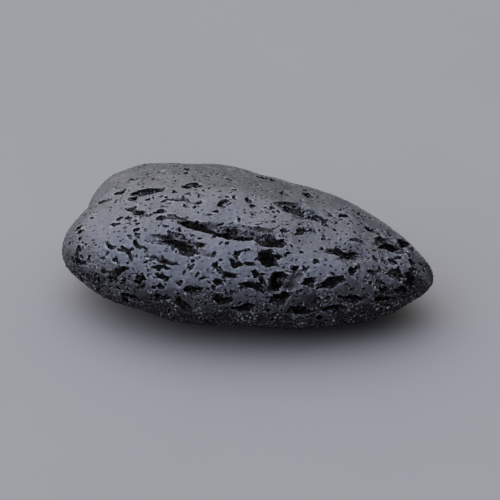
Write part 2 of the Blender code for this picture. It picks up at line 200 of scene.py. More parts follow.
# right, up, long and wide as for the large ones, and turn
PITS = [
    (-20.2, 8.7, 1.7, 0.5, 5), (-23.1, 8.2, 1.0, 0.4, 5), (-25.5, 8.2, 1.2, 0.5, 10),
    (-20.3, 6.9, 2.0, 0.7, 10), (-23.2, 4.3, 1.4, 0.5, 0), (-15.2, 6.7, 1.7, 0.5, -5),
    (-10.9, 13.8, 1.4, 0.5, 0), (-3.8, 12.1, 1.9, 0.6, -20), (-2.9, 9.1, 0.7, 0.6, 0),
    (-4.7, 8.2, 1.9, 0.5, 10), (-2.6, 10.3, 0.9, 0.6, -20), (3.9, 12.0, 1.2, 0.6, -10),
    (-0.5, 8.6, 1.2, 0.8, -10), (0.3, 7.5, 1.2, 0.5, -10), (18.8, 5.3, 1.2, 0.7, -20),
    (20.3, 3.5, 1.4, 0.9, -25), (22.1, 2.1, 0.9, 0.7, 0), (22.7, 3.8, 0.9, 0.5, -30),
    (23.9, 2.6, 0.9, 0.5, -30), (-11.9, -5.5, 1.2, 0.8, -10), (-5.9, -2.5, 0.9, 1.3, 0),
    (-5.1, -3.3, 1.2, 0.8, -30), (-2.2, -0.6, 1.7, 0.8, 10), (-5.3, -5.5, 1.7, 1.2, -10),
    (-4.4, -4.6, 0.8, 0.6, 0), (-3.2, -7.1, 0.8, 0.6, 0), (-1.3, -6.2, 0.9, 0.8, 0),
    (-0.1, -2.3, 1.5, 0.6, -10), (1.0, -3.8, 2.0, 1.2, -20), (2.0, -5.0, 1.2, 1.2, 0),
    (-10.5, -2.7, 0.8, 0.4, 60), (-9.9, -2.9, 1.4, 0.6, 45), (-8.9, -4.1, 1.2, 0.6, 45),
    (-8.2, -4.8, 1.0, 0.5, 30), (-11.3, -3.8, 1.0, 0.5, 45), (-29.1, 3.9, 1.7, 0.5, 15),
    (-29.1, 3.2, 1.5, 0.5, 20), (-24.5, 1.4, 1.6, 0.5, -5), (-24.0, 0.6, 2.4, 0.7, -15),
    (-22.3, 0.0, 0.9, 0.5, -10), (-24.3, -0.7, 0.9, 0.6, 10), (-25.0, -1.4, 1.2, 0.5, 20),
    (-23.1, -1.7, 0.9, 0.9, 0), (-27.6, -1.7, 1.2, 0.6, 20), (-25.1, -3.5, 1.0, 1.0, 0),
    (17.5, -3.7, 1.2, 1.2, 0), (20.5, -3.7, 1.4, 0.6, -10), (19.6, -8.0, 0.7, 0.8, 0),
    (21.4, -1.5, 1.4, 0.8, -30), (23.0, -2.1, 1.2, 0.8, -30), (24.2, -1.9, 1.2, 0.9, -20),
    (22.3, -3.2, 1.1, 0.7, -30), (22.0, -5.6, 1.2, 0.8, -20), (22.9, -6.8, 1.3, 0.8, 10),
    (21.6, -7.4, 1.0, 0.7, 0), (11.2, -1.9, 1.6, 0.9, -5), (5.7, 3.4, 1.4, 0.5, -5),
    (1.6, 4.4, 0.9, 0.4, 20), (3.8, 7.3, 1.0, 0.6, -20), (12.6, 1.9, 0.8, 0.5, 0),
    (14.5, 3.4, 0.6, 0.5, 0), (8.8, -0.4, 0.9, 0.5, -10), (12.3, 0.3, 0.7, 0.5, 0),
    (9.5, -3.4, 1.5, 0.5, 5), (6.6, -0.5, 1.2, 0.4, 10), (-0.4, 0.0, 1.8, 0.6, 12),
    (-15.3, 13.4, 1.6, 0.5, 5), (-17.5, 13.0, 1.2, 0.4, 5), (-10.8, 13.1, 1.5, 0.4, 0),
    (-4.6, 7.3, 1.0, 0.4, -10), (-9.3, 11.2, 2.4, 0.7, -8), (-11.0, 10.8, 1.6, 0.6, -8),
    (-17.6, 8.6, 1.0, 0.3, 0), (-12.9, 10.0, 0.7, 0.5, 0), (-10.6, 9.6, 1.2, 0.4, -10),
    (-8.7, 9.2, 0.9, 0.7, 0), (-8.7, 8.1, 1.0, 0.4, 0), (-9.5, 7.3, 0.6, 0.4, 0),
    (-14.8, 7.5, 1.2, 0.3, 0), (-14.6, 8.4, 0.9, 0.5, 20), (-15.0, 5.5, 1.6, 0.8, 5),
    (-22.4, 5.4, 0.8, 0.4, 0), (-20.6, 5.4, 0.8, 0.4, 0), (-19.2, 4.5, 0.8, 0.8, 0),
    (-19.3, 2.6, 1.2, 0.5, -20), (-19.5, 3.5, 1.0, 0.7, 20), (-14.4, 4.1, 0.8, 0.5, -30),
    (-13.8, 3.2, 0.6, 0.4, 0), (-12.0, 3.4, 0.5, 0.5, 0), (-14.2, 2.2, 1.2, 0.5, -10),
    (-8.2, 1.0, 1.2, 0.6, -20), (-6.1, -0.8, 1.0, 0.8, 30), (-2.3, -1.2, 1.0, 0.6, 0),
    (-5.1, -1.6, 0.7, 0.5, 0), (-15.3, -6.3, 1.6, 0.8, 0), (-18.5, -6.4, 1.8, 0.7, 0),
    (-16.5, -6.4, 1.0, 0.7, 0), (-22.7, -6.5, 1.4, 0.6, -20), (-15.5, -2.9, 1.5, 0.7, -10),
    (-14.2, -3.2, 1.2, 0.6, -10), (8.6, -7.0, 1.2, 0.7, -10), (11.4, -8.6, 1.4, 0.7, 0),
    (13.4, -8.2, 1.0, 0.6, 0), (27.2, -1.0, 1.0, 0.7, -50), (28.6, -6.4, 1.2, 0.7, 60),
    (30.2, -4.4, 1.0, 0.9, 70),
]
PIT_DEPTH = 0.75  # depth as a share of the seen width
PIT_LENGTH_DEPTH = 0.42  # and of the seen length, where that gives more
PIT_LEAST_DEPTH = 0.5  # and never less than this
# How far below the skin a bubble's middle lies, as a share of its depth
LARGE_SUNK = 0.15
PIT_SUNK = 0.3
DISH_SUNK = -0.75  # above the skin, so a dish's rim is soft

# ---- strewn small hollows, one brood after another

# count: how many; long: shortest and longest mouth; slim: width as a share of it; sunk: as PIT_SUNK; near:
# crowding on the side that the eye sees; gather: how strongly they crowd in rough zones
Brood = namedtuple("Brood", "name count long slim sunk seed near gather")
BROODS = [Brood(*row) for row in [
    ("medium", 360, (0.8, 1.6), (0.3, 0.65), 0.3, 21, 0.6, 0.5),
    ("small", 6000, (0.4, 1.0), (0.35, 0.85), 0.4, 22, 0.9, 1.0),
    ("pinholes", 7000, (0.34, 0.6), (0.6, 0.95), 0.45, 23, 1.1, 1.5),
]]
BROOD_SHORTNESS = 1.7  # over 1, most are near the short end
BROOD_DEEP = (0.9, 1.5)  # depth as a share of the width
BROOD_TURN = 0.55  # as for the far side's large hollows
BROOD_LEAN = 25.0
PATCHINESS = 0.45  # how much the crowding varies from patch to patch
PATCHES = (9.0, 51)  # their size and seed
LEAST_CROWDING = 0.06
CLUSTERING = 6.0  # how many more small hollows lie inside larger ones than on the skin
CLUSTER_DEPTH = 0.2  # a place this far below the skin is inside one
UNWORN_CROWDING = 2.8  # how many more lie on the unworn flanks
UNDERSIDE_CROWDING = 0.3  # their share on the underside
UNDERSIDE_HEIGHTS = (1.0, 5.0)  # between which the share grows to the whole
TIP_CLEAR = 31.0  # the pointed end is too thin for hollows beyond this X
TIP_CROWDING = 0.02  # so no more than this share is there
TIP_FADE = 2.0  # how far before that they begin to thin out

# right, up and reach: as seen; change: how much more, or less, crowded the hollows are there
Zone = namedtuple("Zone", "name right up reach change")
ZONES = [Zone(*row) for row in [
    ("calm left shoulder", -21.9, 1.8, 4.5, -0.9),
    ("calm strip below the slot", -5.5, -0.9, 3.5, -0.8),
    ("calm strip below the slot, right", -1.0, -0.9, 3.0, -0.8),
    ("calm left of the slot", -13.7, 3.4, 2.5, -0.9),
    ("calm right of the slot", 12.0, 0.0, 4.0, -0.8),
    ("calm top", -3.4, 9.4, 5.5, -0.5),
    ("rough right end", 24.6, -3.4, 5.5, 3.0),
    ("rough about the caves", 5.1, -4.8, 4.0, 0.8),
    ("rough left scar", -28.5, -3.4, 3.2, 3.5),
    ("rough left hollow, left", -14.0, 1.5, 1.5, 4.0),
    ("rough left hollow, right", -10.5, 0.3, 1.8, 4.0),
    ("rough above the slot", -2.5, 3.6, 2.4, 3.0),
    ("clean slot, left", -7.0, 2.7, 1.5, -0.4),
    ("clean slot, middle", -2.0, 1.9, 2.0, -0.5),
    ("clean slot, right", 3.2, 1.2, 1.8, -0.5),
    ("rough left slit", -15.5, -2.6, 2.0, 2.0),
    ("rough patch", 9.7, 3.1, 2.0, 2.5),
    ("rough right shoulder", 14.5, 4.8, 3.5, 0.8),
    ("rough right back", 20.0, 3.5, 4.0, 1.2),
    ("rough left branch", -19.5, -0.4, 2.5, 1.5),
    ("rough left cave", -21.5, -5.0, 2.5, 1.5),
]]

# ---- the surface

GRID = (480, 320, 200)  # cells across the box of directions, along X, Y and Z
FACE_REACH = 0.25  # a face is searched where a direction points out of it by more than this
WINDOW_SPARE = 1.45  # how much wider than a bubble's reach the searched part of a face is
WINDOW_BORDER = 3.0  # and how many cells more
TRIANGLES = 196000
SHARP_ANGLE = math.radians(42.0)
WOBBLES = [(6.0, 0.20, 31), (2.4, 0.08, 32)]  # size, reach and seed of each warp
WOBBLE_WAVES = 12
UNEVENNESS = [(1.5, 0.16, 61), (0.65, 0.07, 62)]  # size, height and seed of the walls' lumps, in bubble radii
UNEVEN_WAVES = 8
MOST_UNEVEN = 2.3 * sum(height for _, height, _ in UNEVENNESS)  # how far out a wall's lumps may reach
PROUD = 0.02  # most that a pressed point may stand out of the skin
WITHIN = 0.9999  # the square of how far out a point may lie, in bubble radii, to be pressed
LEAST_OPENING = 0.05  # keeps a steeply leant bubble from growing without end
# Below these heights the colour is also painted darker, as shade.
WEAR_HEIGHTS = (8.0, 12.5)  # the skin is unworn below the first height and worn smooth above the second
WEAR_BORDER = (6.0, 1.0, 52)  # size, height and seed of the border's wandering
DIP_SHELTER = 0.55  # how much less the dips are worn
DIP_DEPTH = 0.45  # and how deep a dip shelters fully
RIM_SOFTNESS = 0.2  # share of the way that each point moves to its neighbours' middle
GRAINS = [(0.9, 0.022, 41), (0.42, 0.012, 42)]  # size, height and seed of the skin's grain
WALL_GRAIN = 4.0  # how many times rougher the walls of the hollows are
WALL_DEPTH = 0.3  # and how far below the skin they are fully so
UNWORN_GRAIN = 0.3  # how much of a wall's roughness the unworn skin has
GRAIN_FADE = (1.5, 0.2)  # cells larger than this many times the median have less grain, down to this share
CAVITIES = [(8, 0.10), (40, 0.55)]  # rounds of smoothing, and how far below the result is fully inside

# The bake map: the corners and sizes of the six faces' grids, X+, X-, Y+, Y-, Z+ and Z-, side by side
LENGTH_CELLS, WIDTH_CELLS, HEIGHT_CELLS = GRID
MAP_CELLS = np.array([LENGTH_CELLS + HEIGHT_CELLS, 2 * WIDTH_CELLS + 2 * HEIGHT_CELLS])
MAP_CORNERS = np.array([
    (LENGTH_CELLS, 0),
    (LENGTH_CELLS, WIDTH_CELLS),
    (0, 2 * WIDTH_CELLS),
    (0, 2 * WIDTH_CELLS + HEIGHT_CELLS),
    (0, 0),
    (0, WIDTH_CELLS),
]) / MAP_CELLS
MAP_SIZES = np.array([
    (HEIGHT_CELLS, WIDTH_CELLS),
    (LENGTH_CELLS, HEIGHT_CELLS),
    (LENGTH_CELLS, WIDTH_CELLS),
]).repeat(2, axis=0) / MAP_CELLS
MAP_GAP = 0.03  # clear border of each grid, as a share of its size
MAP_PAST = 0.02  # how far past a face's edge a triangle that spans two faces may go
MAP_LEAST_OUT = 0.2  # least that a corner's direction counts as pointing out of the face

# ---- the stage

FLOOR_SIZE = 3.0  # metres
FLOOR_HEIGHT = -0.0001  # metres, just clear of the stone
FLOOR_MOTTLE = (18.0, 4.0, 0.5)  # patches a metre, octaves and the strength of the finer ones
FLOOR_DARKER = 0.96  # the mottle's darker part
FLOOR_ROUGHNESS = 0.85
CAMERA_NEAR = 0.01
SKY_BRIGHT_WAY = (-0.36, 0.11, 0.88)  # towards the brightest part of the sky
SKY_GATHERING = 1.9  # how strongly the light gathers there
SKY_BLUE_WAY = (-0.2, -0.5, 0.84)  # towards the bluest part

# ---- the outer form


def spread_directions(count):
    """Unit vectors spread evenly over the sphere, along a golden-angle spiral."""
    step = np.arange(count) + 0.5
    height = 1.0 - 2.0 * step / count
    angle = step * math.pi * (3.0 - math.sqrt(5.0))
    ring = np.sqrt(1.0 - height**2)
    return np.stack([ring * np.cos(angle), ring * np.sin(angle), height], axis=1)


def waves(points, size, seed, count=24):
    """A smooth random field of about unit height: plane waves of about this size, in seeded directions."""
    draw = np.random.default_rng(seed)
    heading = draw.normal(size=(count, 3))
    heading /= np.linalg.norm(heading, axis=1)[:, None]
    heading *= 2.0 * math.pi / size * (1.0 + draw.uniform(-0.5, 0.5, (count, 1)))
    phase = draw.uniform(0.0, 2.0 * math.pi, count)
    return np.sin(points @ heading.T + phase).sum(axis=1) * math.sqrt(2.0 / count)


def outward(points):
    """The way out of the stone at each point: that of the plain ellipsoid through it."""
    middle = np.array([0.0, 0.0, KEEL])
    half = np.array([HALF_LENGTH, HALF_WIDTH, (CROWN + KEEL) / 2.0])
    slope = (points - middle) / half**2
    return slope / np.linalg.norm(slope, axis=1)[:, None]


def body(directions):
    """The ellipsoid's point in each direction, tapered along X and set on its bowed centre line."""
    along, across, up = directions.T
    end = along**4 * np.sign(along)
    y = HALF_WIDTH * (1.0 - EGG * along - POINT * end) * across
    full = np.sign(up) * np.abs(up) ** FULLNESS
    z = np.where(up > 0.0, CROWN, KEEL) * (1.0 - THINNING * (along + end)) * full
    y += SWAY * along + BOW * along**2
    z += KEEL + DROOP * along
    return np.stack([HALF_LENGTH * along, y, z], axis=1)


def form(directions):
    """The whole outer form: the body with its swells, dips and lumps raised along the way out."""
    points = body(directions)
    rise = np.zeros(len(points))
    for swell in SWELLS:
        away = ((points - np.array(swell.place)) ** 2).sum(axis=1)
        rise += swell.rise * np.exp(-away / swell.reach**2)
    for size, height, seed in LUMPS:
        rise += height * waves(points, size, seed)
    return points + rise[:, None] * outward(points)


def resting_shift():
    """What moves the form so that its box stands centred on the origin once the worn flat is cut."""
    samples = form(spread_directions(SAMPLES))
    low = samples.min(axis=0)
    middle = (low + samples.max(axis=0)) / 2.0
    return np.array([-middle[0], -middle[1], -low[2] - FLAT_DEPTH])


def as_seen(points):
    """How far right and up each point is seen from the eye, on the plane through the aim."""
    away = points - AIM
    nearness = EYE_DISTANCE / (EYE_DISTANCE + away @ LOOK)
    return (away @ RIGHT) * nearness, (away @ UP) * nearness


def seats_seen(hollows, grid, skin, points):
    """Where hollows placed as seen lie on the skin: their directions, places, axes, half sizes and leans."""
    right, up = as_seen(skin)
    out = outward(skin)
    facing = out @ LOOK < FACING
    seats = []
    for hollow in hollows:
        off = (right - hollow.right) ** 2 + (up - hollow.up) ** 2
        at = int(np.where(facing, off, np.inf).argmin())
        axes, mouth = laid_on(out[at], hollow.long, hollow.wide, hollow.turn)
        lean = math.radians(hollow.lean)
        seats.append((grid.directions[at], points[at], axes, mouth + (hollow.deep,), lean))
    return seats


def laid_on(normal, long, wide, turn):
    """A mouth of this seen size and turn laid on a surface: its axes and its real half length and width.

    Its seen long way is slid along the sight line onto the surface.
    """
    turn = math.radians(turn)
    seen = math.cos(turn) * RIGHT + math.sin(turn) * UP
    long_way = seen - LOOK * (seen @ normal) / (LOOK @ normal)
    stretch = min(np.linalg.norm(long_way), STRETCH_LIMIT)
    long_way /= np.linalg.norm(long_way)
    wide_way = np.cross(normal, long_way)
    squeeze = max(math.hypot(wide_way @ RIGHT, wide_way @ UP), 1.0 / STRETCH_LIMIT)
    return (long_way, wide_way, normal), (long * stretch / 2.0, wide / squeeze / 2.0)


def seats_strewn():
    """Large hollows strewn over the side that the eye doesn't see, the long way roughly along the stone."""
    directions = spread_directions(SAMPLES)
    samples = form(directions)
    normals = outward(samples)
    draw = np.random.default_rng(STREWN_SEED)
    taken = []
    hidden = np.flatnonzero((normals @ LOOK > STREWN_HIDDEN) & (normals[:, 2] > STREWN_LOWEST))
    seats = []
    for at in draw.permutation(hidden):
        if len(seats) == STREWN:
            break
        if any(np.linalg.norm(samples[at] - samples[other]) < STREWN_GAP for other in taken):
            continue
        taken.append(at)
        normal = normals[at]
        lengthways = np.array([1.0, 0.0, 0.0]) - normal[0] * normal
        lengthways += STREWN_TURN * draw.normal() * np.cross(normal, lengthways)
        lengthways /= np.linalg.norm(lengthways)
        shortest, longest = STREWN_LONG
        long = shortest * (longest / shortest) ** draw.random()
        wide = long * draw.uniform(*STREWN_SLIM)
        half = (long / 2.0, wide / 2.0, wide * draw.uniform(*STREWN_DEEP))
        axes = (lengthways, np.cross(normal, lengthways), normal)
        place = samples[at] + warp(samples[at : at + 1])[0]
        lean = math.radians(draw.uniform(-STREWN_LEAN, STREWN_LEAN))
        seats.append((directions[at], place, axes, half, lean))
    return seats


# ---- the grid of directions

Grid = namedtuple("Grid", "directions sides quads edges pitches")


def ruled(cells, axis, sign):
    """One face of the box: its points (1, tan a, tan b), a and b even up to 45 degrees, and its keys."""
    one = (axis + 1) % 3
    two = (axis + 2) % 3
    row, column = np.meshgrid(np.arange(cells[one] + 1), np.arange(cells[two] + 1), indexing="ij")
    place = np.empty(row.shape + (3,))
    place[..., axis] = sign
    place[..., one] = sign * np.tan((row / cells[one] - 0.5) * math.pi / 2.0)
    place[..., two] = np.tan((column / cells[two] - 0.5) * math.pi / 2.0)
    key = np.empty(row.shape + (3,), int)
    key[..., axis] = cells[axis] if sign > 0 else 0
    key[..., one] = row if sign > 0 else cells[one] - row
    key[..., two] = column
    return place, (key[..., 0] * (cells[1] + 1) + key[..., 1]) * (cells[2] + 1) + key[..., 2]


def quads_of(side):
    """The cells of one face's grid of vertex numbers, each as its four corners going round."""
    return np.stack([side[:-1, :-1], side[1:, :-1], side[1:, 1:], side[:-1, 1:]], axis=-1).reshape(-1, 4)


def box_grid(cells):
    """The grid of directions: the six faces of a box, each a grid of two angles, joined along their edges."""
    faces = [ruled(cells, axis, sign) for axis in range(3) for sign in (1, -1)]
    keys = np.concatenate([key.ravel() for _, key in faces])
    _, first, number = np.unique(keys, return_index=True, return_inverse=True)
    directions = np.concatenate([place.reshape(-1, 3) for place, _ in faces])[first]
    directions /= np.linalg.norm(directions, axis=1)[:, None]
    ends = np.cumsum([key.size for _, key in faces])[:-1]
    sides = [part.reshape(key.shape) for part, (_, key) in zip(np.split(number.reshape(-1), ends), faces)]
    quads = np.concatenate([quads_of(side) for side in sides])
    edges = np.concatenate([quads[:, [0, 1]], quads[:, [1, 2]], quads[:, [2, 3]], quads[:, [3, 0]]])
    edges = np.unique(np.sort(edges, axis=1), axis=0)
    return Grid(directions, sides, quads, edges, [])


def measure(grid, points):
    """Fills in how far apart the grid's lines are at each point of each face, both ways."""
    for side in grid.sides:
        along, across = np.gradient(points[side], axis=(0, 1))
        grid.pitches.append((np.linalg.norm(along, axis=2), np.linalg.norm(across, axis=2)))


def gathered(index, values, count):
    """The values added up at the vertices that they belong to."""
    return np.stack([np.bincount(index, value, count) for value in values.T], axis=1)


def normals_and_areas(grid, points):
    """Each vertex's way out and its share of the surface, from its cells' crossed diagonals."""
    corners = points[grid.quads]
    turns = np.cross(corners[:, 2] - corners[:, 0], corners[:, 3] - corners[:, 1]) / 2.0
    total = gathered(grid.quads.ravel(), np.repeat(turns, 4, axis=0), len(points)) / 4.0
    area = np.linalg.norm(total, axis=1)
    return total / np.maximum(area, 1e-12)[:, None], area


def neighbours_middle(grid, points):
    """The average of each vertex's neighbours along the grid's lines."""
    one, two = grid.edges.T
    count = np.bincount(grid.edges.ravel(), minlength=len(points))
    total = gathered(one, points[two], len(points)) + gathered(two, points[one], len(points))
    return total / count[:, None]


def window(grid, direction, reach):
    """The vertices that may lie within reach of this direction's point: a patch of each face near it."""
    found = []
    for number, side in enumerate(grid.sides):
        axis = number // 2
        sign = 1 - 2 * (number % 2)
        out = sign * direction[axis]
        if out < FACE_REACH:
            continue
        slopes = (sign * direction[(axis + 1) % 3] / out, direction[(axis + 2) % 3] / out)
        shares = [math.atan(slope) / (math.pi / 2.0) + 0.5 for slope in slopes]
        middle = [share * (size - 1) for share, size in zip(shares, side.shape)]
        nearest = tuple(int(min(max(place, 0), size - 1)) for place, size in zip(middle, side.shape))
        spans = []
        for place, size, pitch in zip(middle, side.shape, grid.pitches[number]):
            half = WINDOW_SPARE * reach / pitch[nearest] + WINDOW_BORDER
            spans.append(slice(max(int(place - half), 0), max(int(place + half) + 2, 0)))
        found.append(side[tuple(spans)].ravel())
    return np.concatenate(found)


# ---- bubbles

# direction: where on the grid; centre, axes and half: the ellipsoid's middle, unit ways and half sizes; out:
# the way out of the stone there
Bubble = namedtuple("Bubble", "direction centre axes half out")


def leant(axes, lean):
    """The axes turned about the long way, so that a floor dips to the near rim."""
    long_way, wide_way, normal = axes
    wide = math.cos(lean) * wide_way - math.sin(lean) * normal
    deep = math.cos(lean) * normal + math.sin(lean) * wide_way
    return np.array([long_way, wide, deep])


def sunk_bubble(direction, place, axes, half, lean, sunk):
    """A bubble whose mouth has this half length and width, its middle sunk this share of its depth below it.

    A leant ellipse of half sizes a and d cuts the surface at w, with 1 / w^2 = cos^2 / a^2 + sin^2 / d^2, so
    a is found from the mouth's w and the depth's d.
    """
    opening = math.sqrt(1.0 - sunk**2)
    depth = half[2] / (1.0 + sunk)
    centre = place - sunk * depth * axes[2]
    wide = half[1] / opening
    wide *= math.cos(lean) / math.sqrt(max(1.0 - (wide * math.sin(lean) / depth) ** 2, LEAST_OPENING))
    return Bubble(direction, centre, leant(axes, lean), np.array([half[0] / opening, wide, depth]), axes[2])


def wall(ways, bubble):
    """How far out a bubble's uneven wall lies in each direction from its middle, in its own unit sphere."""
    places = ways + bubble.centre
    return 1.0 + sum(height * waves(places, size, seed, UNEVEN_WAVES) for size, height, seed in UNEVENNESS)


def press(points, grid, bubble):
    """Presses the skin inside a bubble down onto the bubble's far wall.

    In the bubble's own unit sphere, with the pole along the way out, a point at height h and at a share s of
    the radius that the sphere has there goes to the angle s * arccos(-h) from the sphere's lowest point. So
    the rim stays where it is, and the middle goes to the bottom.
    """
    near = window(grid, bubble.direction, max(bubble.half) * (1.0 + MOST_UNEVEN / 2.0))
    inner = (points[near] - bubble.centre) @ bubble.axes.T / bubble.half
    away = np.linalg.norm(inner, axis=1)
    likely = away < 1.0 + MOST_UNEVEN
    near = near[likely]
    inner = inner[likely]
    inner /= wall(inner / np.maximum(away[likely], 1e-9)[:, None], bubble)[:, None]
    inside = (inner**2).sum(axis=1) < WITHIN
    near = near[inside]
    inner = inner[inside]
    pole = bubble.half * (bubble.axes @ bubble.out)
    pole /= np.linalg.norm(pole)
    height = inner @ pole
    flat = inner - height[:, None] * pole
    radius = np.linalg.norm(flat, axis=1)
    angle = radius / np.sqrt(1.0 - height**2) * np.arccos(-height)
    ring = flat / np.maximum(radius, 1e-9)[:, None]
    sphere = np.sin(angle)[:, None] * ring - np.cos(angle)[:, None] * pole
    points[near] = bubble.centre + (sphere * wall(sphere, bubble)[:, None] * bubble.half) @ bubble.axes


def warp(points):
    """A small wandering shift of every point in space, which makes the bubbles' walls and rims uneven."""
    shift = np.zeros(points.shape)
    for size, reach, seed in WOBBLES:
        along = [waves(points, size, seed + 10 * way, WOBBLE_WAVES) for way in range(3)]
        shift += reach * np.stack(along, axis=1)
    return shift


def unwarped(points):
    """The points whose warp takes them to these: three rounds of taking the warp off again."""
    plain = points - warp(points)
    for _ in range(2):
        plain = points - warp(plain)
    return plain


def press_seats(points, grid, seats, sunk):
    """Presses in one bubble for each seat, the largest first."""
    for seat in sorted(seats, key=lambda seat: -max(seat[3])):
        press(points, grid, sunk_bubble(*seat, sunk))


def dished(grid, skin):
    """The skin with its wide dips."""
    points = skin.copy()
    press_seats(points, grid, seats_seen(DISHES, grid, skin, skin), DISH_SUNK)
    return points


# ---- where the small hollows lie, and the whole surface


def pit_hollows():
    """The small hollows placed as seen, each as deep as its size asks for."""
    hollows = []
    for right, up, long, wide, turn in PITS:
        deep = max(PIT_DEPTH * wide, PIT_LENGTH_DEPTH * long, PIT_LEAST_DEPTH)
        hollows.append(Hollow("pit", right, up, long, wide, deep, turn, 0.0))
    return hollows


def wear(skin, dip):
    """How worn smooth the skin is: 0 low on the flanks, 1 on top, less in the dips; the border wavers. The
    colour is painted darker by it, as shade, low on the flanks and in the dips.
    """
    low, high = WEAR_HEIGHTS
    size, sway, seed = WEAR_BORDER
    share = np.clip((skin[:, 2] + sway * waves(skin, size, seed) - low) / (high - low), 0.0, 1.0)
    return share**2 * (3.0 - 2.0 * share) * (1.0 - DIP_SHELTER * np.clip(dip / DIP_DEPTH, 0.0, 1.0))


def crowding(brood, skin, worn, hollow_depth):
    """How crowded a brood's hollows are at each vertex, from patches, zones and the larger hollows."""
    right, up = as_seen(skin)
    facing = outward(skin) @ LOOK < 0.0
    crowd = np.ones(len(skin))
    for zone in ZONES:
        away = (right - zone.right) ** 2 + (up - zone.up) ** 2
        gather = brood.gather if zone.change > 0.0 else 1.0
        crowd += facing * gather * zone.change * np.exp(-away / zone.reach**2)
    crowd = np.maximum(crowd, LEAST_CROWDING) * np.exp(PATCHINESS * waves(skin, *PATCHES))
    crowd *= np.where(facing, brood.near, 1.0) * (1.0 + UNWORN_CROWDING * (1.0 - worn))
    low, high = UNDERSIDE_HEIGHTS
    crowd *= np.clip((skin[:, 2] - low) / (high - low), UNDERSIDE_CROWDING, 1.0)
    crowd *= np.clip((TIP_CLEAR - skin[:, 0]) / TIP_FADE, TIP_CROWDING, 1.0)
    return crowd * (1.0 + CLUSTERING * (hollow_depth > CLUSTER_DEPTH))


def strewn_bubbles(brood, grid, points, normals, weight):
    """One brood of small hollows at random vertices, most of them lying roughly along the stone."""
    draw = np.random.default_rng(brood.seed)
    places = draw.choice(len(points), brood.count, replace=False, p=weight / weight.sum())
    shortest, longest = brood.long
    long = shortest * (longest / shortest) ** (draw.random(brood.count) ** BROOD_SHORTNESS)
    wide = long * draw.uniform(*brood.slim, brood.count)
    deep = wide * draw.uniform(*BROOD_DEEP, brood.count)
    normal = normals[places]
    lengthways = np.array([1.0, 0.0, 0.0]) - normal[:, :1] * normal
    lengthways += BROOD_TURN * draw.normal(size=(brood.count, 1)) * np.cross(normal, lengthways)
    lengthways /= np.maximum(np.linalg.norm(lengthways, axis=1), 1e-6)[:, None]
    sideways = np.cross(normal, lengthways)
    lean = np.radians(draw.uniform(-BROOD_LEAN, BROOD_LEAN, brood.count))
    half = np.stack([long / 2.0, wide / 2.0, deep], axis=1)
    bubbles = []
    for k in np.argsort(-long):
        at = places[k]
        axes = (lengthways[k], sideways[k], normal[k])
        bubbles.append(sunk_bubble(grid.directions[at], points[at], axes, half[k], lean[k], brood.sunk))
    return bubbles


def riddled(grid, skin, worn):
    """The skin with all its bubbles pressed in, in millimetres, before it is moved to rest."""
    points = skin + warp(skin)
    warped_skin = points.copy()
    out = outward(skin)
    press_seats(points, grid, seats_seen(HOLLOWS, grid, skin, points) + seats_strewn(), LARGE_SUNK)
    press_seats(points, grid, seats_seen(pit_hollows(), grid, skin, points), PIT_SUNK)
    for brood in BROODS:
        normals, area = normals_and_areas(grid, points)
        depth = ((warped_skin - points) * out).sum(axis=1)
        weight = area * crowding(brood, skin, worn, depth)
        for bubble in strewn_bubbles(brood, grid, points, normals, weight):
            press(points, grid, bubble)
    depth = ((warped_skin - points) * out).sum(axis=1)
    points += np.minimum(depth + PROUD, 0.0)[:, None] * out
    return unwarped(points)


def cavity(grid, points, normals):
    """How far down in a hollow each vertex lies, 0 to 1, from how far smoothed surfaces pass above it. The
    material paints the hollows darker by it, as shade.
    """
    smooth = points
    total = np.zeros(len(points))
    for rounds, reach in CAVITIES:
        for _ in range(rounds):
            smooth = neighbours_middle(grid, smooth)
        total += ((smooth - points) * normals).sum(axis=1) / reach
    return np.clip(total, 0.0, 1.0)


def finished(grid, skin, worn, points):
    """The points with softened rims and grain, and each one's depth below the skin, bend and cavity."""
    points = points + RIM_SOFTNESS * (neighbours_middle(grid, points) - points)
    normals, area = normals_and_areas(grid, points)
    depth = ((skin - points) * outward(skin)).sum(axis=1)
    bend = ((neighbours_middle(grid, points) - points) * normals).sum(axis=1)
    bend = 0.5 * bend + 0.5 * neighbours_middle(grid, bend[:, None])[:, 0]
    hollow = cavity(grid, points, normals)
    rough = np.maximum(np.clip(depth / WALL_DEPTH, 0.0, 1.0), UNWORN_GRAIN * (1.0 - worn))
    widest, least = GRAIN_FADE
    grain = sum(height * waves(points, size, seed) for size, height, seed in GRAINS)
    grain *= np.clip(widest * np.median(area) / area, least, 1.0) * (1.0 + (WALL_GRAIN - 1.0) * rough)
    return points + grain[:, None] * normals, depth, bend, hollow


# ---- meshes


def set_values(mesh, name, kind, values):
    """Stores one value for each vertex under this name, for the material and the map."""
    attribute = mesh.attributes.new(name, kind, "POINT")
    member = "vector" if kind == "FLOAT_VECTOR" else "value"
    attribute.data.foreach_set(member, values.astype(np.float32).ravel())


def mesh_from(name, points, quads):
    """A mesh of these points, in metres, and these cells, all shaded smooth."""
    mesh = bpy.data.meshes.new(name)
    mesh.vertices.add(len(points))
    mesh.vertices.foreach_set("co", points.astype(np.float32).ravel())
    mesh.loops.add(quads.size)
    mesh.loops.foreach_set("vertex_index", quads.astype(np.int32).ravel())
    mesh.polygons.add(len(quads))
    mesh.polygons.foreach_set("loop_start", np.arange(0, quads.size, quads.shape[1], dtype=np.int32))
    mesh.update(calc_edges=True)
    mesh.validate()
    mesh.shade_smooth()
    return mesh


def new_object(name, mesh):
    """A new object with this mesh, or this camera, in the scene."""
    thing = bpy.data.objects.new(name, mesh)
    bpy.context.scene.collection.objects.link(thing)
    return thing


